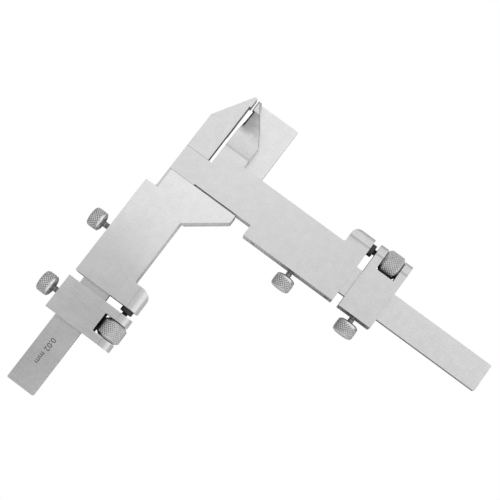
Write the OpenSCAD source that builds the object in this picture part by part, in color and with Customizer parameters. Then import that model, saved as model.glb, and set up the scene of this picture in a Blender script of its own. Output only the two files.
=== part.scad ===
// Gear tooth vernier caliper: an L-shaped frame with a fixed jaw, a sliding jaw on the long
// beam, a height blade on the short beam, and a fine adjustment unit on each slide.
// Millimetres. The tool lies on its graduated side with its plain back facing up (+Z).
// +X runs along the long beam and +Y towards the jaw tips. The jaws are drawn 1 mm open and
// the height blade at zero.

/* [Frame] */
// width of both beams
beam_w = 14; // [10:0.5:20]
// thickness of both beams
beam_t = 3.5; // [2.5:0.1:5]
// length of the long beam, from the outer corner
long_beam = 168.2; // [140:0.1:200]
// length of the short beam below the long beam
short_beam = 116.7; // [90:0.1:150]
// corner chamfer at the beam ends
beam_chamfer = 0.4; // [0.2:0.1:1]
// how far the corner stands back from the short beam's outer edge
corner_relief = 0.4; // [0:0.1:1]

/* [Slides] */
// clearance between a beam and what slides on it
gap = 0.05; // [0.02:0.01:0.1]
// thickness of slides and carriages
slide_t = 9.4; // [7:0.1:11]
// distance from the long beam's outer edge to its slide's outer edge
long_out = 5.2; // [4:0.1:7]
// distance from the short beam's outer edge to its slide's outer edge
short_out = 4.5; // [4:0.1:7]
// far edge of the long slide, from the beam's outer edge
long_top = 19.55; // [18:0.05:24]
// far edge of the short slide, from the beam's outer edge
short_top = 19.8; // [18:0.05:24]
// start of the long slide's box, from the corner
long_start = 45.4; // [40:0.1:60]
// end of the long slide, from the corner
long_end = 94.3; // [80:0.1:110]
// start of the short slide's box, below the corner
short_start = 10.8; // [8:0.1:20]
// end of the short slide, below the corner
short_end = 61.8; // [50:0.1:75]
// length of the screw lug at a slide's end
lug_len = 11; // [8:0.1:16]
// corner radius of the screw lug
lug_r = 4.6; // [1:0.1:5]
// diameter of the blind pin holes in the outer edges
pin_d = 2.2; // [1:0.1:3]
// depth of the pin holes
pin_depth = 1.6; // [0.5:0.1:2]
// first pin hole of a slide, from its clamping screw
pin_a = -21.3; // [-24:0.1:-10]
// second pin hole of a slide, from its clamping screw
pin_b = 19.2; // [10:0.1:22]
// pin hole of a carriage, from its clamping screw
pin_c = 5.4; // [4:0.1:7]
// thickness of a slide's graduated side
face_t = 2.7; // [1.8:0.1:3]

// start of the long slide's vernier plate, from the corner
long_vern = 48.6; // [46:0.1:60]
// start of the short slide's vernier plate, below the corner
short_vern = 16; // [12:0.1:20]
// length of both vernier plates
vernier_len = 33.2; // [20:0.1:40]
// near edge of the reading windows, from the beam's outer edge
window_v = 2.6; // [1:0.1:4]
// thin edge of the vernier plates, from the beam's outer edge
vernier_v = 8; // [6:0.1:10]

/* [Jaws] */
// reach of both jaws above the corner's lower edge
jaw_reach = 49; // [40:0.1:60]
// position of the fixed measuring face, from the short beam's outer edge
face_x = 13.24; // [12:0.01:14]
// opening of the jaws as drawn
jaw_open = 1.0; // [0:0.05:2]
// length of the lapped measuring face at each tip
face_len = 5.0; // [4:0.1:8]
// depth of the relief behind the fixed measuring face
fixed_relief = 0.7; // [0.5:0.05:2]
// depth of the relief behind the sliding measuring face
slide_relief = 0.8; // [0.5:0.05:2]
// depth of the sliding jaw's relief at its root
root_relief = 0.25; // [0.1:0.05:0.8]
// width of the sliding jaw at its root
jaw_w = 12.9; // [10:0.1:18]
// length of the tongue that carries the fixed jaw, above the long beam
tongue_len = 13; // [10:0.5:16]
// thickness of the tongue
tongue_t = 1.8; // [1.2:0.1:2.4]
// where the sliding jaw's back starts to fall towards its tip
slope_y = 23.7; // [18:0.1:30]
// angle at which it starts to fall
slope_a = 3; // [0:0.5:6]
// radius that thins the sliding jaw towards its tip
hollow_r = 110; // [60:1:200]
// drop of the fixed jaw's back at its tip
fixed_taper = 0.6; // [0:0.1:1.5]

/* [Height blade] */
// left edge of the blade, from the short beam's outer edge
blade_left = 15.1; // [14.5:0.05:18]
// right edge of the blade
blade_right = 36.65; // [32:0.05:40]
// thickness of the blade
blade_t = 2.7; // [1.6:0.1:3.2]
// length of the blade below the corner's lower edge
blade_root = 10.4; // [8:0.1:14]
// right edge of the arm that carries the blade
arm_right = 37.5; // [34:0.05:42]

/* [Fine adjustment] */
// length of a carriage along its beam
car_len = 17.2; // [14:0.1:22]
// distance from a beam's outer edge to its carriage's outer edge
car_out = 5.2; // [4:0.1:7]
// gap between a slide and its carriage
car_gap = 3.4; // [2.8:0.1:6]
// distance of the adjusting screw's axis from the beam's outer edge
axis_v = 24.25; // [22:0.05:28]
// radius of the rounded lugs around the adjusting screw
boss_r = 4.9; // [4.8:0.05:6]
// length of the carriage's first arm
arm_a = 4.0; // [3:0.1:6]
// width of the window for the knurled nut
window_w = 9.4; // [7:0.1:14]
// floor of the nut window, from the beam's outer edge
window_floor = 17.9; // [16:0.1:20]
// diameter of the knurled nut
nut_d = 11.9; // [9:0.1:14]
// length of the knurled nut
nut_len = 9.1; // [6:0.1:13]
// diameter of the adjusting screw
rod_d = 2.9; // [2:0.1:4]
// diameter of the lock collar
collar_d = 6; // [5:0.1:8]
// length of the lock collar
collar_len = 2.2; // [1.5:0.1:2.7]

/* [Clamping screws] */
// head diameter on the slides
slide_head_d = 9.6; // [8:0.1:12]
// head diameter on the carriages
car_head_d = 10.1; // [8:0.1:12]
// head length
head_len = 6.6; // [5:0.1:9]
// distance from the beam's outer edge to a clamping screw's head
head_v = 8.1; // [7:0.1:11]
// shank diameter
shank_d = 2.9; // [2:0.1:4]
// position of the clamp on the long slide, from the corner
long_clamp = 72; // [60:0.1:80]
// position of the clamp on the short slide, from the corner
short_clamp = 37.8; // [30:0.1:50]
// position of the clamp on a carriage, from its start
car_clamp = 8.65; // [6:0.1:11]

/* [Gibs] */
// thickness of a gib strip
gib_t = 0.8; // [0.5:0.1:1.2]
// free depth behind a gib strip
gib_play = 0.38; // [0.2:0.01:0.6]

/* [Hidden] */
$fn = 64;
eps = 0.01;
fit = 0.03;
screw_v = 17;
jaw_left = 0.85;
lobe_left = 1.05;
jaw_base = -0.45;
joint_y = 12.6;
arm_top = -0.55;
slide_face = face_x + jaw_open;
tip_y = jaw_reach - face_len + 0.15;
mid_z = -beam_t / 2;
back_z = mid_z + slide_t / 2;
front_z = mid_z - slide_t / 2;
plate_z = front_z + face_t + gap;
blade_top = plate_z - 0.05;
tip_z = slope_z(tip_y) + 0.12;
blade_screws = [[18.5, -3.4], [32.5, -3.4], [24.5, -7.6]];
jaw_screws = [[3.9, 17.2], [9.5, 17.2], [3.9, 23.4], [9.5, 23.4]];
tongue_y = beam_w + tongue_len;
jaw_front = -beam_t + 0.2;
steel = [0.80, 0.80, 0.81];
steel_dark = [0.70, 0.70, 0.71];
black_oxide = [0.13, 0.13, 0.14];
bronze = [0.72, 0.55, 0.32];
head_end = head_v + head_len;
origin_x = (long_beam - head_end) / 2;
origin_y = (jaw_reach - short_beam) / 2;
origin_z = mid_z - nut_d / 2;
long_car = long_end + car_gap;
short_car = short_end + car_gap;
rod_len = car_gap + arm_a + window_w + 1.6;

// puts the origin under the middle of the whole tool
module seat() {
    translate([-origin_x, -origin_y, -origin_z]) children();
}

// long beam: u is +X and v is +Y
module on_long() {
    seat() children();
}

// short beam: u is -Y and v is +X
module on_short() {
    seat() rotate([0, 0, -90]) children();
}

module box(u0, u1, v0, v1, z0, z1) {
    translate([u0, v0, z0]) cube([u1 - u0, v1 - v0, z1 - z0]);
}

// a section given as [v, z] points, extruded along u
module along_u(u0, u1, points) {
    translate([u0, 0, 0]) rotate([90, 0, 90]) linear_extrude(u1 - u0) polygon(points);
}

// a round bar along u at the adjusting screw's axis
module axis_rod(u0, u1, d) {
    translate([u0, axis_v, mid_z]) rotate([0, 90, 0]) cylinder(d = d, h = u1 - u0);
}

// a round hole along v at the clamp's height
module cross_rod(u, v0, v1, d) {
    translate([u, v1, mid_z]) rotate([90, 0, 0]) cylinder(d = d, h = v1 - v0);
}

// the space a beam runs in
module beam_channel(u0, u1) {
    box(u0 - 1, u1 + 1, -gap, beam_w + gap, -beam_t - gap, gap);
}

module gib_pocket(u0, u1) {
    box(u0, u1, -gib_t - gib_play - 0.07, 1, -beam_t - gap, gap);
}

module gib(u0, u1) {
    color(bronze) box(u0 + 0.1, u1 - 0.1, -gib_t - 0.07, -0.07, -beam_t + 0.05, -0.05);
}

// outline of a slide with its lug, whose far corner is rounded
module slide_outline(u0, u1, out, top) {
    lug0 = u1 - lug_len;
    lug_top = axis_v + boss_r;
    translate([u0, -out]) square([u1 - u0, top + out]);
    translate([lug0, 0]) square([lug_len, lug_top - lug_r]);
    translate([lug0 + lug_r, 0]) square([lug_len - lug_r, lug_top]);
    translate([lug0 + lug_r, lug_top - lug_r]) circle(lug_r);
    difference() {
        translate([lug0 - 1.2, top - eps]) square([1.2 + eps, 1.2]);
        translate([lug0 - 1.2, top + 1.2]) circle(1.2);
    }
}

// flat plate and round boss that hold the adjusting screw
module slide_solid(u0, u1, out, top) {
    intersection() {
        union() {
            box(u0, u1, -out, axis_v, front_z, back_z);
            axis_rod(u1 - lug_len, u1, 2 * boss_r);
        }
        translate([0, 0, mid_z - boss_r]) linear_extrude(2 * boss_r) slide_outline(u0, u1, out, top);
    }
}

// reading window and the seat of the vernier plate
module vernier_seat(u0, u1, top) {
    box(u0, u1, window_v, vernier_v + eps, front_z - 1, -beam_t);
    box(u0, u1, vernier_v, top + 1, front_z - 1, plate_z);
}

module vernier_holes(u0, u1) {
    for (u = [u0 + 4.4, u1 - 4]) small_screw_hole(u, screw_v, front_z, 4.4);
}

// bevelled vernier plate, its thin edge beside the graduations
module vernier_plate(u0, u1, top) {
    color(steel) difference() {
        along_u(u0 + 0.1, u1 - 0.1, [[vernier_v, plate_z - 0.01], [top, plate_z - 0.01], [top, front_z],
            [vernier_v + 1.8, front_z], [vernier_v, plate_z - 0.4]]);
        vernier_holes(u0, u1);
    }
}

module vernier_screws(u0, u1) {
    color(steel_dark) {
        for (u = [u0 + 4.4, u1 - 4]) small_screw(u, screw_v, front_z, 4.3);
    }
}

// countersunk screw seen from the graduated side, at [x, y]
module small_screw(x, y, z_face, grip) {
    translate([x, y, z_face]) {
        difference() {
            union() {
                cylinder(d1 = 3.2, d2 = 1.6, h = 0.8);
                translate([0, 0, 0.79]) cylinder(d = 1.6, h = grip - 0.79);
            }
            translate([-2, -0.2, -1]) cube([4, 0.4, 1.35]);
        }
    }
}

module small_screw_hole(x, y, z_face, grip) {
    translate([x, y, z_face]) {
        translate([0, 0, -0.06]) cylinder(d1 = 3.2 + 2 * fit + 0.12, d2 = 1.6 + 2 * fit, h = 0.86);
        cylinder(d = 1.6 + 2 * fit, h = grip + 0.1);
    }
}

// knurled clamping screw: the shank ends at the gib, and the head has a collar, a groove,
// a knurled drum and a rounded end
module clamp_screw(u, head_d) {
    v_tip = -gib_t - 0.09;
    r = head_d / 2;
    color(steel_dark) {
        cross_rod(u, -head_v - eps, v_tip, shank_d);
        translate([u, -head_v, mid_z]) rotate([90, 0, 0]) rotate_extrude() polygon([[0, 0], [r - 1.3, 0],
            [r - 0.2, 0.8], [r - 0.1, 1.4], [r - 0.5, 1.4], [r - 0.5, 1.75], [r, 1.85], [r, head_len - 1.8],
            [r - 0.2, head_len - 1.1], [r - 0.9, head_len - 0.45], [r - 1.9, head_len - 0.1],
            [r - 3, head_len], [0, head_len]]);
    }
}

module clamp_hole(u) {
    cross_rod(u, -head_v, -gib_t, shank_d + 2 * fit);
}

// blind hole in a slide's or carriage's outer edge
module pin_hole(u, out) {
    cross_rod(u, -out - 1, -out + pin_depth, pin_d);
}

// threaded rod fixed in the slide's lug
module fine_screw(u1) {
    color(steel_dark) axis_rod(u1 - 8, u1 + rod_len, rod_d);
}

module lock_collar(u1) {
    color(black_oxide) difference() {
        axis_rod(u1 + 0.02, u1 + collar_len, collar_d);
        axis_rod(u1 - 1, u1 + collar_len + 1, rod_d + 2 * fit);
    }
}

// knurled nut held in the carriage's window
module fine_nut(u0) {
    u = u0 + arm_a + (window_w - nut_len) / 2;
    color(steel_dark) difference() {
        translate([u, axis_v, mid_z]) rotate([0, 90, 0]) rotate_extrude() polygon([[0, 0],
            [nut_d / 2 - 1.5, 0], [nut_d / 2, 1.4], [nut_d / 2, nut_len - 1.4], [nut_d / 2 - 1.5, nut_len],
            [0, nut_len]]);
        axis_rod(u - 1, u + nut_len + 1, rod_d + 2 * fit);
    }
}

module carriage(u0) {
    u1 = u0 + car_len;
    window_end = u0 + arm_a + window_w;
    color(steel) difference() {
        union() {
            box(u0, u1, -car_out, axis_v, front_z, back_z);
            axis_rod(u0, u1, 2 * boss_r);
        }
        beam_channel(u0, u1);
        box(u0 + arm_a, window_end, window_floor, axis_v + boss_r + 1, front_z - 1, back_z + 1);
        axis_rod(u0 - 1, window_end + 2.8, rod_d + 2 * fit);
        clamp_hole(u0 + car_clamp);
        pin_hole(u0 + car_clamp + pin_c, car_out);
        gib_pocket(u0 + 2.2, u1 - 2.2);
    }
}

// L-shaped frame: the corner stands back a little, a notch relieves the root of the jaws, and
// a thin tongue carries the fixed jaw
module main_frame() {
    c = beam_chamfer;
    left = corner_relief;
    root = face_x - fixed_relief;
    color(steel) seat() translate([0, 0, -beam_t]) difference() {
        union() {
            linear_extrude(beam_t) polygon([[c, -short_beam], [beam_w - c, -short_beam],
                [beam_w, -short_beam + c], [beam_w, 0], [long_beam - c, 0], [long_beam, c],
                [long_beam, beam_w - c], [long_beam - c, beam_w], [root + 2.8, beam_w],
                [root + 2.8, joint_y - 0.3], [root - 0.2, joint_y - 0.3], [root - 0.2, beam_w],
                [left + c, beam_w], [left, beam_w - c], [left, -9.6], [0, -10], [0, -short_beam + c]]);
            linear_extrude(tongue_t) polygon([[jaw_left + 0.2, beam_w - 1], [root - 0.2, beam_w - 1],
                [root - 0.2, tongue_y], [jaw_left + 0.2, tongue_y]]);
        }
        for (p = jaw_screws) small_screw_hole(p[0], p[1], 0, beam_t);
    }
}

// section of the fixed jaw as [y, z] points: a lip over the beam, a step over the tongue, and
// a back that tapers slowly to the tip
function fixed_profile() = let(step = tongue_t - beam_t + gap) [[joint_y + 0.04, fit],
    [beam_w + gap, fit], [beam_w + gap, step], [tongue_y + gap, step], [tongue_y + gap, jaw_front],
    [jaw_reach, jaw_front], [jaw_reach, back_z - fixed_taper], [joint_y + 0.04, back_z]];

module fixed_jaw() {
    left = jaw_left;
    relief = face_x - fixed_relief;
    color(steel) seat() difference() {
        intersection() {
            translate([0, 0, jaw_front - 1]) linear_extrude(slide_t) polygon([[left, joint_y],
                [relief, joint_y], [relief, jaw_reach - face_len - 0.3], [face_x, jaw_reach - face_len],
                [face_x, jaw_reach], [left + 11.2, jaw_reach], [left, 30.45]]);
            along_u(-1, face_x + 1, fixed_profile());
        }
        for (p = jaw_screws) {
            translate([p[0], p[1], -beam_t]) cylinder(d = 1.6 + 2 * fit, h = 5.1);
        }
        tip_chamfer(face_x, back_z - fixed_taper);
    }
}

module fixed_jaw_screws() {
    color(steel_dark) seat() {
        for (p = jaw_screws) {
            small_screw(p[0], p[1], -beam_t, beam_t + 1.4);
        }
    }
}

// height of the sliding jaw's back: flat, a slope of growing steepness, then flat at the tip
function slope_z(y) = let(run = hollow_r * sin(slope_a) + y - slope_y)
    back_z - hollow_r * cos(slope_a) + sqrt(hollow_r * hollow_r - run * run);

// back profile of the sliding jaw as [y, z] points
function jaw_profile() = concat(
    [[beam_w - 2, jaw_front], [jaw_reach, jaw_front], [jaw_reach, tip_z], [tip_y, tip_z]],
    [for (i = [16:-1:0]) let(y = slope_y + (tip_y - slope_y) * i / 16) [y, slope_z(y)]],
    [[beam_w - 2, back_z]]);

// small chamfer along the back edge of a measuring face
module tip_chamfer(x, z) {
    translate([x, jaw_reach - face_len - 1, z]) rotate([0, 45, 0]) translate([-0.22, 0, -0.22])
        cube([0.44, face_len + 2, 0.44]);
}

module jaw_blade() {
    face = slide_face;
    root = face + root_relief;
    neck = face + slide_relief;
    intersection() {
        translate([0, 0, jaw_front - 1]) linear_extrude(slide_t) polygon([[root, beam_w], [root, 31.5],
            [(root + neck) / 2, 34.8], [neck, 37.8], [neck, jaw_reach - face_len - 0.3],
            [face, jaw_reach - face_len], [face, jaw_reach],
            [face + 1.75, jaw_reach], [face + 4.05, 44.1], [face + 9.15, 37.15], [face + jaw_w, 31.1],
            [face + jaw_w, beam_w]]);
        along_u(face - 1, face + jaw_w + 1, jaw_profile());
    }
}

// the long slide: its box, a back plate that reaches over the frame's corner, and the jaw
module jaw_slide() {
    root = slide_face + root_relief;
    color(steel) on_long() difference() {
        union() {
            difference() {
                slide_solid(long_start, long_end, long_out, long_top);
                beam_channel(long_start, long_end);
                vernier_seat(long_vern, long_vern + vernier_len, long_top);
            }
            translate([0, 0, gap]) linear_extrude(back_z - gap) polygon([[jaw_left, jaw_base],
                [slide_face, jaw_base], [slide_face, 0.2], [long_start + eps, 0.2],
                [long_start + eps, long_top], [root, long_top], [root, joint_y - 0.04],
                [jaw_left, joint_y - 0.04]]);
            box(root, long_start + eps, beam_w + gap, long_top, jaw_front, back_z);
            jaw_blade();
        }
        tip_chamfer(slide_face, tip_z);
        clamp_hole(long_clamp);
        for (step = [pin_a, pin_b]) pin_hole(long_clamp + step, long_out);
        gib_pocket(49, 91);
        axis_rod(long_end - 8.2, long_end + 1, rod_d + 2 * fit);
        vernier_holes(long_vern, long_vern + vernier_len);
    }
}

module long_vernier() {
    on_long() vernier_plate(long_vern, long_vern + vernier_len, long_top);
}

module long_vernier_screws() {
    on_long() vernier_screws(long_vern, long_vern + vernier_len);
}

module long_gib() {
    on_long() gib(49, 91);
}

module long_clamp_screw() {
    on_long() clamp_screw(long_clamp, slide_head_d);
}

module long_fine_screw() {
    on_long() fine_screw(long_end);
}

module long_lock_collar() {
    on_long() lock_collar(long_end);
}

module long_carriage() {
    on_long() carriage(long_car);
}

module long_carriage_gib() {
    on_long() gib(long_car + 2.2, long_car + car_len - 2.2);
}

module long_carriage_clamp_screw() {
    on_long() clamp_screw(long_car + car_clamp, car_head_d);
}

module long_fine_nut() {
    on_long() fine_nut(long_car);
}

// full depth part of the arm: it backs the blade's lower end and forms a rim beside it
module blade_rim() {
    translate([0, 0, front_z]) linear_extrude(slide_t) polygon([[short_top - 0.2, -blade_root - 0.1],
        [blade_right - 9.5, -blade_root - 0.1], [blade_right + 0.1, -3.18], [blade_right + 0.1, arm_top],
        [arm_right, arm_top], [arm_right, -4.3], [short_top, -17.8], [short_top - 0.2, -18]]);
}

// the short slide's box, and the arm that carries the height blade beside the short beam
module height_slide() {
    c = 1;
    color(steel) seat() difference() {
        union() {
            rotate([0, 0, -90]) difference() {
                slide_solid(short_start, short_end, short_out, short_top);
                beam_channel(short_start, short_end);
                vernier_seat(short_vern, short_vern + vernier_len, short_top);
            }
            difference() {
                translate([0, 0, gap]) linear_extrude(back_z - gap) polygon([
                    [lobe_left, -short_start - eps], [arm_right - 17.8, -short_start - eps],
                    [arm_right - 17.8, arm_top], [lobe_left, arm_top]]);
                translate([lobe_left, -short_start - 0.2, back_z]) rotate([0, 30, 0])
                    translate([-c, 0, -c]) cube([c, short_start + 1, c]);
            }
            translate([0, 0, plate_z]) linear_extrude(back_z - plate_z) polygon([[beam_w + 0.1, arm_top],
                [arm_right, arm_top], [arm_right, -4.3], [short_top, -17.8], [short_top - 0.15, -20],
                [beam_w + 0.1, -20]]);
            blade_rim();
        }
        rotate([0, 0, -90]) {
            clamp_hole(short_clamp);
            for (step = [pin_a, pin_b]) pin_hole(short_clamp + step, short_out);
            gib_pocket(14, 58);
            axis_rod(short_end - 8.2, short_end + 1, rod_d + 2 * fit);
            vernier_holes(short_vern, short_vern + vernier_len);
            vernier_seat(short_vern, short_vern + vernier_len, short_top);
        }
        for (p = blade_screws) small_screw_hole(p[0], p[1], blade_top - blade_t, 4.9);
    }
}

module height_blade() {
    color(steel) seat() difference() {
        translate([0, 0, blade_top - blade_t]) linear_extrude(blade_t) polygon([[blade_left, -blade_root],
            [blade_right - 9.4, -blade_root], [blade_right, -3.25], [blade_right, jaw_reach],
            [blade_left, jaw_reach]]);
        for (p = blade_screws) small_screw_hole(p[0], p[1], blade_top - blade_t, 4.9);
    }
}

module height_blade_screws() {
    color(steel_dark) seat() {
        for (p = blade_screws) small_screw(p[0], p[1], blade_top - blade_t, 4.8);
    }
}

module short_vernier() {
    on_short() vernier_plate(short_vern, short_vern + vernier_len, short_top);
}

module short_vernier_screws() {
    on_short() vernier_screws(short_vern, short_vern + vernier_len);
}

module short_gib() {
    on_short() gib(14, 58);
}

module short_clamp_screw() {
    on_short() clamp_screw(short_clamp, slide_head_d);
}

module short_fine_screw() {
    on_short() fine_screw(short_end);
}

module short_lock_collar() {
    on_short() lock_collar(short_end);
}

module short_carriage() {
    on_short() carriage(short_car);
}

module short_carriage_gib() {
    on_short() gib(short_car + 2.2, short_car + car_len - 2.2);
}

module short_carriage_clamp_screw() {
    on_short() clamp_screw(short_car + car_clamp, car_head_d);
}

module short_fine_nut() {
    on_short() fine_nut(short_car);
}

main_frame();
fixed_jaw();
fixed_jaw_screws();
jaw_slide();
long_vernier();
long_vernier_screws();
long_gib();
long_clamp_screw();
long_fine_screw();
long_lock_collar();
long_carriage();
long_carriage_gib();
long_carriage_clamp_screw();
long_fine_nut();
height_slide();
height_blade();
height_blade_screws();
short_vernier();
short_vernier_screws();
short_gib();
short_clamp_screw();
short_fine_screw();
short_lock_collar();
short_carriage();
short_carriage_gib();
short_carriage_clamp_screw();
short_fine_nut();
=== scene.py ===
# Gear tooth vernier caliper, back side up. CAD nodes keep their shape and get ground steel;
# the turned, threaded and knurled pieces are built here in full detail.
import math

import bpy
import numpy as np
from mathutils import Matrix, Vector


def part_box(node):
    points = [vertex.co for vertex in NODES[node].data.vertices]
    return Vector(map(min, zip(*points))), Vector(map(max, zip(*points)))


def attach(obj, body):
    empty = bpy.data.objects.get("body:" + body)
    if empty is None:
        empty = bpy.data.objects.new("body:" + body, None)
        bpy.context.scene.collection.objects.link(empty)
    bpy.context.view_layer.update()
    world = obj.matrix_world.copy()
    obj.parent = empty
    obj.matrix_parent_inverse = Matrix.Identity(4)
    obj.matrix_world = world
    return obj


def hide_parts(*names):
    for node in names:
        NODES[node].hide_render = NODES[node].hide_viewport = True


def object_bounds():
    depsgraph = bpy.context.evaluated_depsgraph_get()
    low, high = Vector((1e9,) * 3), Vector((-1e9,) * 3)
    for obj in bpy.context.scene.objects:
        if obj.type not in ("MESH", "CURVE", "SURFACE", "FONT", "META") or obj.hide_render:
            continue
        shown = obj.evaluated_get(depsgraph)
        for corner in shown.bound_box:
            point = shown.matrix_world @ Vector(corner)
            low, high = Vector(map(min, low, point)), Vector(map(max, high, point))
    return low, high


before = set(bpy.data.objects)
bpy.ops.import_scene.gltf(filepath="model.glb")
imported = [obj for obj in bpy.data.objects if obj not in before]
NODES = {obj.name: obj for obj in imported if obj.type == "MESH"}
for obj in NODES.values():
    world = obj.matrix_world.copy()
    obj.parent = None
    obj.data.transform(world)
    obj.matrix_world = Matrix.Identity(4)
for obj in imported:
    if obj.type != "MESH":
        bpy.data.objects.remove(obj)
CAD_LO, CAD_HI = [list(p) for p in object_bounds()]
MM = 0.001

# the frame's outer corner in the row frame, and the heights of the beams' two faces;
# SHORT_BEAM is mm from the corner to the short beam's end
FRAME_LO, FRAME_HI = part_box("main_frame")
SHORT_BEAM = 116.7
CORNER = Vector((FRAME_LO.x, FRAME_LO.y + SHORT_BEAM * MM, 0))
BACK_Z = FRAME_HI.z
FRONT_Z = FRAME_LO.z


# ---------------------------------------------------------------- camera
CAM_PLACE = Vector((0.00636, -0.04949, 0.51399))
CAM_RIGHT = Vector((0.8034, 0.5942, 0.0379)).normalized()
CAM_BACK = Vector((0.0614, -0.1459, 0.9874))
CAM_BACK = (CAM_BACK - CAM_RIGHT * CAM_BACK.dot(CAM_RIGHT)).normalized()

cam = bpy.data.objects.new("camera", bpy.data.cameras.new("camera"))
bpy.context.scene.collection.objects.link(cam)
bpy.context.scene.camera = cam
cam.data.lens = 82.8
cam.data.sensor_width = 36
cam.data.clip_start = 0.01
cam.data.clip_end = 20
turn = Matrix((CAM_RIGHT, CAM_BACK.cross(CAM_RIGHT), CAM_BACK)).transposed().to_4x4()
cam.matrix_world = Matrix.Translation(CAM_PLACE) @ turn
bpy.context.scene.view_settings.view_transform = "Standard"


# ---------------------------------------------------------------- node helpers
class Graph:
    """Makes and links shader nodes. A value is a constant, a node, or a pair of node and output."""

    def __init__(self, tree):
        self.t = tree
        tree.nodes.clear()

    def feed(self, socket, value):
        if isinstance(value, bpy.types.Node):
            value = (value, 0)
        if isinstance(value, tuple) and isinstance(value[0], bpy.types.Node):
            self.t.links.new(value[0].outputs[value[1]], socket)
        else:
            socket.default_value = value

    def add(self, kind, values=None, **settings):
        n = self.t.nodes.new(kind)
        for k, v in settings.items():
            setattr(n, k, v)
        for k, v in (values or {}).items():
            self.feed(n.inputs[k], v)
        return n

    def math(self, op, *values):
        return self.add("ShaderNodeMath", dict(enumerate(values)), operation=op)

    def product(self, first, *others):
        for other in others:
            first = self.math("MULTIPLY", first, other)
        return first

    def near(self, value, centre, half):
        """1 where the value is within half of the centre."""
        return self.math("COMPARE", value, centre, half)

    def span(self, value, from_lo, from_hi, to_lo, to_hi, smooth=False):
        limits = {"Value": value, "From Min": from_lo, "From Max": from_hi, "To Min": to_lo, "To Max": to_hi}
        kind = "SMOOTHSTEP" if smooth else "LINEAR"
        return self.add("ShaderNodeMapRange", limits, interpolation_type=kind)

    def noise(self, pos, scale, detail):
        return self.add("ShaderNodeTexNoise", {"Vector": pos, "Scale": scale, "Detail": detail})

    def split(self, pos):
        return self.add("ShaderNodeSeparateXYZ", {0: pos})

    def place(self):
        """Position in the row frame, in metres. It rides with the piece."""
        return self.add("ShaderNodeTexCoord"), "Object"

    def surface(self, shader):
        self.add("ShaderNodeOutputMaterial", {"Surface": shader})


def material(name):
    m = bpy.data.materials.new(name)
    m.use_nodes = True
    return m, Graph(m.node_tree)


# ---------------------------------------------------------------- marks: painted light and shade
# A marks function gives painted shade, and in places painted light, that multiplies one steel's tone, place
# by place.

# the hollow on the sliding jaw's back, in mm from the frame's outer corner
JAW_LEFT = 14.2
JAW_RIGHT = 27.3
HOLLOW_START = 22.5
HOLLOW_END = 43.9
# the hollow's right edge: two straight runs, each through (x, y) and leaning left
RIM_LOW = (27.15, 31.1, 0.62)
RIM_HIGH = (23.4, 37.15, 0.734)


def bench(g, pos):
    """Position in mm from the frame's outer corner."""
    at = g.split(pos)
    x = g.math("MULTIPLY", g.math("SUBTRACT", (at, 0), CORNER.x), 1000)
    y = g.math("MULTIPLY", g.math("SUBTRACT", (at, 1), CORNER.y), 1000)
    return x, y


def leaning(g, y, x0, y0, lean):
    """x of a straight edge through (x0, y0) that leans left as y grows."""
    return g.math("SUBTRACT", x0, g.math("MULTIPLY", g.math("SUBTRACT", y, y0), lean))


def long_slide_painted_shade(g, pos):
    """Painted light and shade: the long slide is a little lighter by the jaw and darkens slowly away from
    it.
    The hollow on the jaw's back has a crease where it starts, is deepest beside the slot, and its edges are
    dark, all in painted shade."""
    x, y = bench(g, pos)
    sway = g.span(g.noise(pos, 280.0, 3.0), 0.25, 0.75, -1.8, 1.8)
    swaying_x, swaying_y = g.math("ADD", x, sway), g.math("ADD", y, sway)
    on_jaw = g.product(g.span(x, JAW_LEFT, JAW_LEFT + 0.05, 0, 1),
                       g.span(x, JAW_RIGHT, JAW_RIGHT + 0.1, 1, 0))
    crease = g.product(g.span(y, HOLLOW_START + 0.1, HOLLOW_START + 0.6, 0, 0.16, smooth=True),
                       g.span(y, HOLLOW_START + 0.8, HOLLOW_START + 1.8, 1, 0))
    fall = g.product(g.span(y, HOLLOW_START, HOLLOW_START + 1.0, 0, 0.13, smooth=True),
                     g.span(y, HOLLOW_START + 1.5, HOLLOW_START + 7.5, 1, 0.35, smooth=True))
    deep = g.product(g.span(swaying_y, 31.0, 35.5, 0, 1, smooth=True),
                     g.span(y, HOLLOW_END, HOLLOW_END + 0.35, 1, 0),
                     g.span(swaying_x, 15.5, 24.5, 0.5, 0.1))
    strip_end = g.span(y, 43.7, 44.1, 15.8, 14.75)
    strip = g.product(g.math("LESS_THAN", x, strip_end), g.span(y, 34.0, 36.0, 0, 0.4))
    rim_x = g.math("MINIMUM", leaning(g, y, *RIM_LOW), leaning(g, y, *RIM_HIGH))
    rim = g.product(g.span(g.math("SUBTRACT", rim_x, x), 0.3, 0.55, 0.35, 0),
                    g.span(y, 29.0, 31.0, 0, 1))
    shade = 1.0
    for cut in (crease, fall, deep, strip, rim):
        shade = g.math("SUBTRACT", shade, cut)
    shade = g.product(g.math("SUBTRACT", shade, 1.0), on_jaw)
    return g.product(g.math("ADD", shade, 1.0), g.span(x, 25.0, 95.0, 1.04, 0.93))


def height_slide_painted_shade(g, pos):
    """Painted shade: the short slide darkens away from the corner, and a dark line stands for a soft bevel
    along the lobe's left edge.
    """
    x, y = bench(g, pos)
    lobe = g.product(g.span(x, 1.7, 2.2, 0.25, 0), g.span(y, -10.9, -10.7, 0, 1))
    return g.product(g.span(y, -52.0, -18.0, 0.82, 1.0, smooth=True), g.math("SUBTRACT", 1.0, lobe))


def frame_painted_shade(g, pos):
    """Painted shade: the short beam is a little darker than the long one."""
    y = bench(g, pos)[1]
    return g.span(y, -60.0, -10.0, 0.92, 1.0)


# the painted shade on the wall behind a nut: mm beyond the nut's ends, and mm before and behind its lowest
# side
WINDOW_ROOM = 0.14
WALL_BEFORE = 0.2
WALL_BEHIND = 0.45


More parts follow.
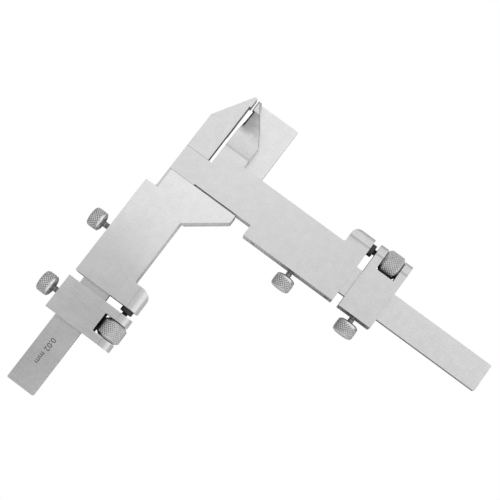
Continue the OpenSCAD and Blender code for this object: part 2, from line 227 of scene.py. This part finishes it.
def window_painted_shade(nut):
    """Painted shade: the wall behind a nut, deep in its window, is darkened."""
    lo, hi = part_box(nut)
    run, wall = (0, 1) if nut == "long_fine_nut" else (1, 0)

    def marks(g, pos):
        at = g.split(pos)
        inside = g.product(g.math("GREATER_THAN", (at, run), lo[run] - WINDOW_ROOM * MM),
                           g.math("LESS_THAN", (at, run), hi[run] + WINDOW_ROOM * MM))
        behind = g.product(g.math("LESS_THAN", (at, wall), lo[wall] + WALL_BEFORE * MM),
                           g.math("GREATER_THAN", (at, wall), lo[wall] - WALL_BEHIND * MM))
        return g.span(g.product(inside, behind), 0, 1, 1.0, 0.12)
    return marks


# blind pin holes in an outer edge: their places in mm along the beam from the clamping screw, and the
# box of painted shade in each hole, half its width and the depth where it ends
SLIDE_PINS = (-21.3, 19.2)
CARRIAGE_PINS = (5.4,)
PINNED = {
    "jaw_slide": ("long_clamp_screw", SLIDE_PINS),
    "height_slide": ("short_clamp_screw", SLIDE_PINS),
    "long_carriage": ("long_carriage_clamp_screw", CARRIAGE_PINS),
    "short_carriage": ("short_carriage_clamp_screw", CARRIAGE_PINS),
}
PIN_HALF = 1.2
PIN_END = 1.75


def pin_hole_painted_shade(node, start=0.02):
    """Painted shade darkens the inside of pin holes. start is the depth in mm where the painted shade
    starts.
    """
    screw, steps = PINNED[node]
    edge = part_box(node)[0]
    lo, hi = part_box(screw)
    centre = (lo + hi) / 2
    run, wall, way = (0, 1, 1) if screw.startswith("long") else (1, 0, -1)

    def marks(g, pos):
        at = g.split(pos)
        inside = g.near((at, wall), edge[wall] + (start + PIN_END) / 2 * MM, (PIN_END - start) / 2 * MM)
        inside = g.product(inside, g.near((at, 2), centre.z, PIN_HALF * MM))
        holes = [g.near((at, run), centre[run] + way * step * MM, PIN_HALF * MM) for step in steps]
        either_hole = holes[0]
        for hole in holes[1:]:
            either_hole = g.math("MAXIMUM", either_hole, hole)
        return g.span(g.product(inside, either_hole), 0, 1, 1.0, 0.1)
    return marks


def slot_painted_shade(face):
    """Painted shade darkens the bottom of a screw's slot, 0.3 mm below its face."""
    def marks(g, pos):
        return g.span((g.split(pos), 2), face + 0.15 * MM, face + 0.25 * MM, 1.0, 0.2)
    return marks


def all_painted_shade(*parts):
    def marks(g, pos):
        return g.product(*[part(g, pos) for part in parts])
    return marks


# ---------------------------------------------------------------- materials
# noise scales of the steel's scratches, small along the grain and large across it
GRAIN = {"x": (90, 2400, 900), "y": (2400, 90, 900), "z": (1500, 1500, 90)}


def tinted(g, colour, shade):
    """The colour multiplied by a grey shade."""
    return g.add("ShaderNodeMix", {"Factor": 1.0, "A": (*colour, 1), "B": shade},
                 data_type="RGBA", blend_type="MULTIPLY"), "Result"


def ground_steel(name, grain, tone=0.7, rough=0.3, marks=None):
    """Satin ground steel: faint scratches along one axis, fine grain, soft handling marks. marks, if given,
    multiplies in painted light and shade.
    """
    m, g = material(name)
    pos = g.place()
    lines = g.add("ShaderNodeMapping", {"Vector": pos, "Scale": GRAIN[grain]})
    scratch = g.noise(lines, 1.0, 3.0)
    scratch.inputs["Roughness"].default_value = 0.6
    grit = g.noise(pos, 1500.0, 2.0)
    blotch = g.noise(pos, 260.0, 3.0)
    cloud = g.noise(pos, 45.0, 3.0)
    shade = g.span(scratch, 0.2, 0.8, 0.965, 1.035)
    for noise, low, high in ((grit, 0.93, 1.07), (blotch, 0.965, 1.035), (cloud, 0.96, 1.04)):
        shade = g.product(shade, g.span(noise, 0.25, 0.75, low, high))
    if marks is not None:
        shade = g.product(shade, marks(g, pos))
    roughness = g.math("ADD", g.span(scratch, 0.25, 0.75, rough - 0.03, rough + 0.03),
                       g.span(cloud, 0.3, 0.7, -0.02, 0.03))
    bump = g.add("ShaderNodeBump", {"Height": scratch, "Strength": 0.05, "Distance": 0.03 * MM})
    g.surface(g.add("ShaderNodeBsdfPrincipled", {
        "Base Color": tinted(g, (tone, tone, tone), shade), "Metallic": 1.0,
        "Roughness": roughness, "Normal": bump}))
    return m


def knurled_steel(name, tone, low):
    """Turned steel: ridges bright, valleys dark with painted shade. Reads the ridge height on the mesh."""
    m, g = material(name)
    ridge = (g.add("ShaderNodeAttribute", attribute_name="ridge"), "Fac")
    stain = g.noise(g.place(), 420.0, 3.0)
    shade = g.product(g.span(ridge, 0.0, 0.85, low, 1.0, smooth=True), g.span(stain, 0.3, 0.7, 0.9, 1.06))
    g.surface(g.add("ShaderNodeBsdfPrincipled", {
        "Base Color": tinted(g, (tone, tone, tone * 0.995), shade), "Metallic": 1.0,
        "Roughness": g.span(ridge, 0.0, 1.0, 0.5, 0.3)}))
    return m


def mottled(name, scale, detail, first, second, fade, rough, metallic=0.0):
    """One colour that noise turns into another between the two levels of fade. rough is a constant,
    or a pair that the same noise runs between."""
    m, g = material(name)
    noise = g.noise(g.place(), scale, detail)
    colour = g.add("ShaderNodeMix", {
        "Factor": g.span(noise, *fade, 0, 1), "A": (*first, 1), "B": (*second, 1)}, data_type="RGBA")
    if isinstance(rough, tuple):
        rough = g.span(noise, 0.3, 0.7, *rough)
    g.surface(g.add("ShaderNodeBsdfPrincipled", {
        "Base Color": (colour, "Result"), "Metallic": metallic, "Roughness": rough}))
    return m


def engraving_ink(name, tone):
    return mottled(name, 1500.0, 2.0, [tone] * 3, [tone * 1.8] * 3, (0.45, 0.75), 0.55)


# The ground and turned steels below are copies of one steel in different tones; the differences between
# parts are painted light and shade, each part lighter or darker as light falls on it. Their marks add
# painted light and shade in places.
JAW_STEEL = ground_steel("ground_steel_jaws", "x", tone=0.72)
SLIDE_STEEL = ground_steel("ground_steel_slide", "x", tone=0.71,
                           marks=all_painted_shade(long_slide_painted_shade, pin_hole_painted_shade("jaw_slide")))
FRAME_STEEL = ground_steel("ground_steel_frame", "x", tone=0.695, marks=frame_painted_shade)
HEIGHT_STEEL = ground_steel("ground_steel_height", "y", tone=0.87,
                            marks=all_painted_shade(height_slide_painted_shade, pin_hole_painted_shade("height_slide")))
BLADE_STEEL = ground_steel("ground_steel_blade", "y", tone=0.81, rough=0.32)
CARRIAGE_STEEL = ground_steel("ground_steel_carriage", "y", tone=0.66,
                              marks=all_painted_shade(window_painted_shade("long_fine_nut"), pin_hole_painted_shade("long_carriage")))
SHORT_CARRIAGE_STEEL = ground_steel("ground_steel_short_carriage", "x", tone=0.69,
                                    marks=all_painted_shade(window_painted_shade("short_fine_nut"),
                                                    pin_hole_painted_shade("short_carriage")))
EDGE_STEEL = ground_steel("edge_steel", "x", tone=0.7, rough=0.24,
                          marks=all_painted_shade(*[pin_hole_painted_shade(node, -0.1) for node in PINNED]))
TURNED = knurled_steel("knurled_steel", tone=0.72, low=0.55)
HEAD_STEEL = knurled_steel("knurled_head_steel", tone=0.79, low=0.34)
BLACK = mottled("black_oxide", 900.0, 3.0, (0.028, 0.028, 0.03), (0.08, 0.078, 0.075),
                (0.4, 0.75), (0.36, 0.5), metallic=0.35)
BRONZE = mottled("bronze_strip", 300.0, 4.0, (0.42, 0.25, 0.10), (0.62, 0.42, 0.20),
                 (0.3, 0.7), (0.32, 0.45), metallic=1.0)
INK = engraving_ink("scale_ink", 0.012)
ETCH = engraving_ink("etched_mark", 0.035)

CAD_LOOKS = {
    "main_frame": FRAME_STEEL, "fixed_jaw": JAW_STEEL, "jaw_slide": SLIDE_STEEL,
    "long_vernier": JAW_STEEL, "long_gib": BRONZE, "long_carriage": CARRIAGE_STEEL,
    "long_carriage_gib": BRONZE, "height_slide": HEIGHT_STEEL, "height_blade": BLADE_STEEL,
    "short_vernier": HEIGHT_STEEL, "short_gib": BRONZE, "short_carriage": SHORT_CARRIAGE_STEEL,
    "short_carriage_gib": BRONZE, "long_lock_collar": BLACK, "short_lock_collar": BLACK,
}
for name in ("fixed_jaw_screws", "long_vernier_screws", "height_blade_screws", "short_vernier_screws"):
    CAD_LOOKS[name] = ground_steel(name + "_steel", "z", tone=0.5, rough=0.32,
                                   marks=slot_painted_shade(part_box(name)[0].z))
# widths of the small bevels, mm
BEVEL = {
    "main_frame": 0.1, "fixed_jaw": 0.06, "jaw_slide": 0.08, "height_slide": 0.12,
    "long_carriage": 0.12, "short_carriage": 0.12, "long_lock_collar": 0.25, "short_lock_collar": 0.25,
}
BEVEL_ANGLE = math.radians(32)

for name, mat in CAD_LOOKS.items():
    o = NODES[name]
    o.data.materials.clear()
    o.data.materials.append(mat)
    if name in BEVEL:
        o.data.materials.append(BLACK if "collar" in name else EDGE_STEEL)
        weld = o.modifiers.new("weld", "WELD")
        weld.merge_threshold = 1e-6
        b = o.modifiers.new("edges", "BEVEL")
        b.width = BEVEL[name] * MM
        b.segments = 2
        b.limit_method = "ANGLE"
        b.angle_limit = BEVEL_ANGLE
        b.material = 1
        flat = o.modifiers.new("normals", "WEIGHTED_NORMAL")
        flat.weight = 100


# ---------------------------------------------------------------- mesh helpers
# knurls and threads, in mm; the steps are between rings
KNURL_PITCH = 1.35
KNURL_DEEP = 0.32
KNURL_STEP = 0.13
THREAD_PITCH = 0.5
THREAD_STEP = 0.085


def make_object(name, verts, faces, mat, body, replaced=(), ridge=None, smooth=40):
    me = bpy.data.meshes.new(name)
    me.from_pydata([tuple(v) for v in verts], [], faces)
    me.materials.append(mat)
    if ridge is not None:
        a = me.attributes.new("ridge", "FLOAT", "POINT")
        a.data.foreach_set("value", np.asarray(ridge, np.float32))
    me.validate()
    me.update()
    if smooth:
        me.shade_smooth()
        me.set_sharp_from_angle(angle=math.radians(smooth))
    o = bpy.data.objects.new(name, me)
    bpy.context.scene.collection.objects.link(o)
    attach(o, body)
    if replaced:
        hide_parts(*replaced)


def run_of(node, axis):
    """Where a node starts along its axis, and how long it is in mm."""
    lo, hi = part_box(node)
    length = abs((hi - lo).dot(Vector(axis)))
    return (lo + hi) / 2 - Vector(axis) * length / 2, length / MM


def turned(origin, axis, profile, around, cuts, bored=False):
    """Rings of a turned piece. profile holds (s, r) in mm along the axis. cuts is a function, or one for
    each ring, that takes s and the angles and gives how deep the ring is cut and how high it stands;
    the height also sets the painted shade in the valleys."""
    a, up = np.array(axis, float), np.array((0.0, 0.0, 1.0))
    side = np.cross(a, up)
    origin = np.array(origin)
    theta = np.arange(around) * 2 * np.pi / around
    if not isinstance(cuts, list):
        cuts = [cuts] * len(profile)
    rings, ridge = [], []
    for (s, r), cut in zip(profile, cuts):
        deep, high = cut(s, theta)
        rings.append(origin + a * s * MM
                     + np.outer((r - deep) * np.cos(theta), up) * MM
                     + np.outer((r - deep) * np.sin(theta), side) * MM)
        ridge.append(high)
    n = len(profile)
    faces = []
    for i in range(n if bored else n - 1):
        i2 = (i + 1) % n
        for k in range(around):
            k2 = (k + 1) % around
            faces.append((i * around + k, i * around + k2, i2 * around + k2, i2 * around + k))
    if not bored:
        rings += [[origin + a * profile[end][0] * MM] for end in (0, -1)]
        ridge += [[1.0], [1.0]]
        first = n * around
        for k in range(around):
            k2 = (k + 1) % around
            faces.append((first, k2, k))
            faces.append((first + 1, (n - 1) * around + k, (n - 1) * around + k2))
    return np.vstack(rings), faces, np.concatenate(ridge)


def rows(points, step):
    """Fills a profile with extra rings, at most step apart."""
    out = [points[0]]
    for (s0, r0), (s1, r1) in zip(points, points[1:]):
        n = max(1, int(math.ceil(math.hypot(s1 - s0, r1 - r0) / step)))
        out += [(s0 + (s1 - s0) * i / n, r0 + (r1 - r0) * i / n) for i in range(1, n + 1)]
    return out


def wave(x):
    return np.abs(2 * (x - np.floor(x)) - 1)


def knurl(s0, s1, diameter):
    """Diamond knurl between s0 and s1: two crossing sets of spiral grooves that fade at their ends."""
    count = round(math.pi * diameter / KNURL_PITCH)

    def cut(s, theta):
        if s < s0 or s > s1:
            return np.zeros(len(theta)), np.ones(len(theta))
        fade = min(1.0, (s - s0) / 0.25, (s1 - s) / 0.25)
        t = count * theta / (2 * np.pi)
        high = np.minimum(wave(t + s / KNURL_PITCH), wave(t - s / KNURL_PITCH))
        high = np.clip(high * 1.35, 0, 1)
        return KNURL_DEEP * fade * (1 - high), 1 - fade * (1 - high)
    return cut


def thread(s0, s1, deep):
    """One spiral groove between s0 and s1 that fades over its first and last turn."""
    def cut(s, theta):
        if s < s0 or s > s1:
            return np.zeros(len(theta)), np.ones(len(theta))
        fade = min(1.0, (s - s0) / THREAD_PITCH, (s1 - s) / THREAD_PITCH)
        high = wave(s / THREAD_PITCH - theta / (2 * np.pi))
        return deep * fade * (1 - high), 1 - 0.75 * fade * (1 - high)
    return cut


def painted_shade_band(s0, s1, level):
    """Painted shade: leaves the shape alone and only darkens the surface between s0 and s1."""
    def cut(s, theta):
        return np.zeros(len(theta)), np.full(len(theta), level if s0 <= s <= s1 else 1.0)
    return cut


def deepest(*cuts):
    def cut(s, theta):
        both = [c(s, theta) for c in cuts]
        return np.max([deep for deep, _ in both], axis=0), np.min([high for _, high in both], axis=0)
    return cut


# ---------------------------------------------------------------- knurled clamping screws
HEAD_LENGTH = 6.6
SHANK_R = 1.42
NECK_R = 1.3
ROUND_R = 1.5


def clamp_screw(name, axis, head_d):
    """axis points from the slide out to the head, and h is where the head starts."""
    tip, total = run_of(name, axis)
    h = total - HEAD_LENGTH
    r = head_d / 2
    points = rows([(0.0, 0.9), (0.4, SHANK_R), (h - 0.9, SHANK_R)], THREAD_STEP)
    # neck and the head's inner face
    points += [(h - 0.75, NECK_R), (h - 0.1, NECK_R), (h, 1.6), (h, 2.4)]
    points += [(h + 0.02, r - 1.35), (h + 0.3, r - 0.75), (h + 0.72, r - 0.25)]
    # plain collar and the groove beside the knurl
    points += [(h + 0.85, r - 0.13), (h + 1.3, r - 0.1), (h + 1.4, r - 0.2)]
    points += [(h + 1.42, r - 0.48), (h + 1.72, r - 0.48), (h + 1.76, r - 0.15)]
    points += rows([(h + 1.85, r), (h + 4.85, r)], KNURL_STEP)
    # rounded outer end
    points += [(h + 5.0 + ROUND_R * math.sin(t), r - ROUND_R + ROUND_R * math.cos(t))
               for t in np.linspace(0.1, 1.4, 8)]
    points += [(total - 0.06, r - 2.2), (total, r - 3.0), (total, 0.4)]
    # the shank just under the head gets a band of painted shade
    cut = deepest(knurl(h + 1.7, h + 6.35, head_d), thread(0.3, h - 1.0, 0.22),
                  painted_shade_band(h - 2.8, h + 0.01, 0.25))
    verts, faces, ridge = turned(tip, axis, points, 176, cut)
    make_object(name + "_detail", verts, faces, HEAD_STEEL, name, (name,), ridge)


SLIDE_HEAD = 9.4
CARRIAGE_HEAD = 10.1
clamp_screw("long_clamp_screw", (0, -1, 0), SLIDE_HEAD)
clamp_screw("long_carriage_clamp_screw", (0, -1, 0), CARRIAGE_HEAD)
clamp_screw("short_clamp_screw", (-1, 0, 0), SLIDE_HEAD)
clamp_screw("short_carriage_clamp_screw", (-1, 0, 0), CARRIAGE_HEAD)


# ---------------------------------------------------------------- knurled nuts and adjusting screws
NUT_R = 5.95
FACE_R = 4.35
BORE_R = 1.5
ROD_R = 1.45


def fine_nut(name, axis):
    start, length = run_of(name, axis)
    outer = [(0, 1.75), (0, 3.9), (0.12, FACE_R)]
    outer += rows([(0.12, FACE_R), (1.35, NUT_R - 0.08), (1.6, NUT_R), (length - 1.6, NUT_R),
                   (length - 1.35, NUT_R - 0.08), (length - 0.12, FACE_R)], KNURL_STEP)[1:]
    outer += [(length, 3.9), (length, 1.75)]
    bore = rows([(length - 0.25, BORE_R), (0.25, BORE_R)], 0.12)
    # the bore gets painted shade inside
    cuts = [knurl(1.2, length - 1.2, 2 * NUT_R)] * len(outer) + [painted_shade_band(0, length, 0.5)] * len(bore)
    verts, faces, ridge = turned(start, axis, outer + bore, 192, cuts, bored=True)
    make_object(name + "_detail", verts, faces, TURNED, name, (name,), ridge)


def fine_screw(name, body, axis):
    start, length = run_of(name, axis)
    points = rows([(0, 1.1), (0.3, ROD_R), (length - 0.45, ROD_R), (length, 1.0)], THREAD_STEP)
    verts, faces, ridge = turned(start, axis, points, 32, thread(0.2, length - 0.2, 0.24))
    make_object(name + "_detail", verts, faces, BLACK, body, (name,), ridge, smooth=55)


fine_nut("long_fine_nut", (1, 0, 0))
fine_nut("short_fine_nut", (0, -1, 0))
fine_screw("long_fine_screw", "jaw_slide", (1, 0, 0))
fine_screw("short_fine_screw", "height_slide", (0, -1, 0))


# ---------------------------------------------------------------- graduations
STROKE_THICK = 0.012
STROKE_WIDTH = 0.1
CAP_HEIGHT = 0.7
CUBE = ((0, 3, 2, 1), (4, 5, 6, 7), (0, 1, 5, 4), (1, 2, 6, 5), (2, 3, 7, 6), (3, 0, 4, 7))


class Marks:
    """Collects thin strokes and digits that share one mesh. Sizes are in mm, places in metres."""

    def __init__(self):
        self.v, self.f = [], []

    def slab(self, centre, along, across, length):
        along, across = Vector(along).normalized(), Vector(across).normalized()
        normal = along.cross(across)
        base = len(self.v)
        for k in (-1, 1):
            for i, j in ((-1, -1), (1, -1), (1, 1), (-1, 1)):
                step = along * i * length + across * j * STROKE_WIDTH + normal * k * STROKE_THICK
                self.v.append(Vector(centre) + step * MM / 2)
        self.f += [tuple(base + i for i in q) for q in CUBE]

    def text(self, words, centre, along, rise, height):
        """Digits read along one direction, standing up along rise."""
        curve = bpy.data.curves.new("digits", "FONT")
        curve.body = words
        curve.size = height / CAP_HEIGHT * MM
        curve.align_x = "CENTER"
        curve.align_y = "CENTER"
        curve.resolution_u = 3
        curve.extrude = STROKE_THICK / 2 * MM
        o = bpy.data.objects.new("digits", curve)
        bpy.context.scene.collection.objects.link(o)
        dg = bpy.context.evaluated_depsgraph_get()
        me = bpy.data.meshes.new_from_object(o.evaluated_get(dg))
        x, y = Vector(along).normalized(), Vector(rise).normalized()
        turn = Matrix((x, y, x.cross(y))).transposed()
        base = len(self.v)
        self.v += [turn @ v.co + Vector(centre) for v in me.vertices]
        self.f += [tuple(base + i for i in p.vertices) for p in me.polygons]
        bpy.data.objects.remove(o)
        bpy.data.curves.remove(curve)
        bpy.data.meshes.remove(me)

    def build(self, name, body, mat):
        make_object(name, self.v, self.f, mat, body, smooth=0)


def long_at(u, v, z):
    return Vector((CORNER.x + u * MM, CORNER.y + v * MM, z))


def short_at(u, v, z):
    return Vector((CORNER.x + v * MM, CORNER.y - u * MM, z))


# u runs along the beam and v across it, in mm from the corner; the digits of both scales read along +X
LONG_WAY = (long_at, (1, 0, 0), (0, 1, 0))
SHORT_WAY = (short_at, (0, -1, 0), (1, 0, 0))
READ, RISE = (1, 0, 0), (0, -1, 0)
MAIN_DIVISION = 0.5
MAIN_DIGITS = 3.95
VERNIER_DIVISION = 0.48
VERNIER_DIGITS = 11.3
VERNIER_EDGE = 8.0
VERNIER_BEVEL = 1.8
BEVEL_TOP = 0.4
UNDER_VERNIER = 1.8
UNIT_TEXT = 19.2
LONG_ZERO = 51.0
SHORT_ZERO = 19.4
JAWS_OPEN = 1.0


def main_scale(name, way, zero, count):
    """Half millimetres, numbered every 5 mm. The strokes run on under the vernier's edge."""
    place, along, across = way
    marks = Marks()
    for i in range(count * 2 + 1):
        u = zero + i * MAIN_DIVISION
        size = 3.0 if i % 10 == 0 else 2.4 if i % 2 == 0 else 1.6
        v = VERNIER_EDGE + (UNDER_VERNIER - size) / 2
        marks.slab(place(u, v, FRONT_Z), across, along, size + UNDER_VERNIER)
        if i % 10 == 0:
            marks.text(str(i // 2), place(u, MAIN_DIGITS, FRONT_Z), READ, RISE, 1.35)
    marks.build(name, "frame", INK)


main_scale("long_main_scale", LONG_WAY, LONG_ZERO, 60)
main_scale("short_main_scale", SHORT_WAY, SHORT_ZERO, 45)


def vernier_scale(name, way, zero, body, plate, text_v):
    """25 divisions in 12 mm on the bevel, numbered in hundredths."""
    place, along, across = way
    marks = Marks()
    lo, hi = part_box(plate)
    top_z, low_z = hi.z - BEVEL_TOP * MM, lo.z
    slope = (Vector(across) * VERNIER_BEVEL * MM + Vector((0, 0, low_z - top_z))).normalized()
    for i in range(26):
        u = zero + i * VERNIER_DIVISION
        size = 2.0 if i % 5 == 0 else 1.5
        start = place(u, VERNIER_EDGE, top_z)
        marks.slab(start + slope * (0.06 + size / 2) * MM, slope, along, size)
        if i % 5 == 0:
            marks.text(str(i * 2), place(u, VERNIER_DIGITS, low_z), READ, RISE, 0.95)
    marks.text("0.02 mm", place(zero + UNIT_TEXT, text_v, low_z), READ, RISE, 1.5)
    marks.build(name, body, INK)


vernier_scale("long_vernier_scale", LONG_WAY, LONG_ZERO + JAWS_OPEN, "jaw_slide", "long_vernier", 13.2)
vernier_scale("short_vernier_scale", SHORT_WAY, SHORT_ZERO, "height_slide", "short_vernier", 14.9)

# plain etched resolution mark on the back of the short beam
mark = Marks()
mark.text("0.02 mm", short_at(98.0, 6.4, BACK_Z), (0, -1, 0), (1, 0, 0), 2.6)
mark.build("back_mark", "frame", ETCH)


# ---------------------------------------------------------------- floor
FLOOR_HALF = 3.0
FLOOR_GAP = 0.02 * MM

# The camera sees the floor pure white. The light that bounces off it is grey, and off a strip
# along the long beam's outer edge it weakens to the right: a painted shadow in the floor's colour, which
# only bounced light sees.
m, g = material("floor_white")
white = g.add("ShaderNodeEmission", {"Color": (1, 1, 1, 1), "Strength": 1.0})
spot = g.split(g.place())
strip = g.product(g.span((spot, "X"), -0.036, -0.026, 0, 1, smooth=True),
                  g.span((spot, "Y"), 0.016, 0.022, 0, 1, smooth=True),
                  g.span((spot, "Y"), 0.033, 0.037, 1, 0, smooth=True))
grey = g.add("ShaderNodeMix", {"Factor": strip, "A": (0.74, 0.74, 0.74, 1),
             "B": g.span((spot, "X"), -0.035, 0.03, 0.9, 0.36)}, data_type="RGBA")
bounce = g.add("ShaderNodeBsdfDiffuse", {"Color": (grey, "Result")})
path = g.add("ShaderNodeLightPath")
g.surface(g.add("ShaderNodeMixShader", {0: (path, "Is Camera Ray"), 1: bounce, 2: white}))

me = bpy.data.meshes.new("floor")
square = ((-1, -1), (1, -1), (1, 1), (-1, 1))
me.from_pydata([(x * FLOOR_HALF, y * FLOOR_HALF, 0) for x, y in square], [], [(0, 1, 2, 3)])
me.materials.append(m)
floor = bpy.data.objects.new("floor", me)
floor.location.z = CAD_LO[2] - FLOOR_GAP
bpy.context.scene.collection.objects.link(floor)


# ---------------------------------------------------------------- light
# levels of the studio by the direction's Y; a ramp can't hold more than 1, so it holds a share of LIGHT_TOP
LIGHT = ((-1.0, 0.85), (-0.3, 0.95), (-0.12, 0.58), (0.0, 0.3), (0.06, 0.55), (0.12, 1.08),
         (0.2, 1.2), (0.3, 1.06), (0.45, 0.94), (1.0, 0.95))
LIGHT_TOP = 1.5
BESIDE = 0.55

world = bpy.data.worlds.new("studio")
bpy.context.scene.world = world
world.use_nodes = True
g = Graph(world.node_tree)
way = g.split((g.add("ShaderNodeTexCoord"), "Generated"))
sky = g.add("ShaderNodeValToRGB", {"Fac": g.span((way, "Y"), -1, 1, 0, 1)})
ramp = sky.color_ramp
while len(ramp.elements) < len(LIGHT):
    ramp.elements.new(0.5)
for e, (y, level) in zip(ramp.elements, LIGHT):
    share = level / LIGHT_TOP
    e.position = (y + 1) / 2
    e.color = (share, share, share, 1)
# towards both sides the ramp gives way to one even level, and the left is darker than the right
beside = g.span(g.math("ABSOLUTE", (way, "X")), 0.55, 0.85, 0, 1, smooth=True)
level = g.math("ADD", g.product(g.math("SUBTRACT", BESIDE, sky), beside), sky)
left = g.span((way, "X"), -0.8, -0.25, 0.7, LIGHT_TOP, smooth=True)
right = g.span((way, "X"), 0.3, 0.75, 1.0, 1.3, smooth=True)
bg = g.add("ShaderNodeBackground", {"Color": (1, 1, 1, 1), "Strength": g.product(level, left, right)})
g.add("ShaderNodeOutputWorld", {"Surface": bg})
